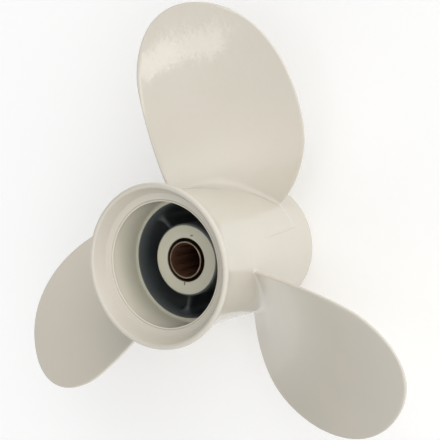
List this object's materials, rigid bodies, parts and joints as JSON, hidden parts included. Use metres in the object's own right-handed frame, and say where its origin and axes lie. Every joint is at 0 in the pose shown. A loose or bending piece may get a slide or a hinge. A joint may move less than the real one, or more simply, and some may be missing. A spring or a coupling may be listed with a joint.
{
  "type": "outboard motor propeller",
  "caption": "Right-hand outboard propeller: raked helical blades on a flared exhaust barrel, with a splined brass sleeve in a rubber damper for the propeller shaft.",
  "frame": {"origin": "on the shaft axis, in the plane of the barrel's front rim, which is also the face it stands on", "axes": "+Z along the shaft axis and aft, out of the flared exhaust outlet; the first blade's reference line points along +Y"},
  "size_m": [0.227, 0.2079, 0.097],
  "materials": {
    "off_white_paint": "gloss",
    "black_rubber": "matte",
    "brass": "satin"
  },
  "bodies": {
    "root": {"propeller_casting": "off_white_paint", "rubber_damper": "black_rubber", "splined_sleeve": "brass"}
  },
  "joints": []
}
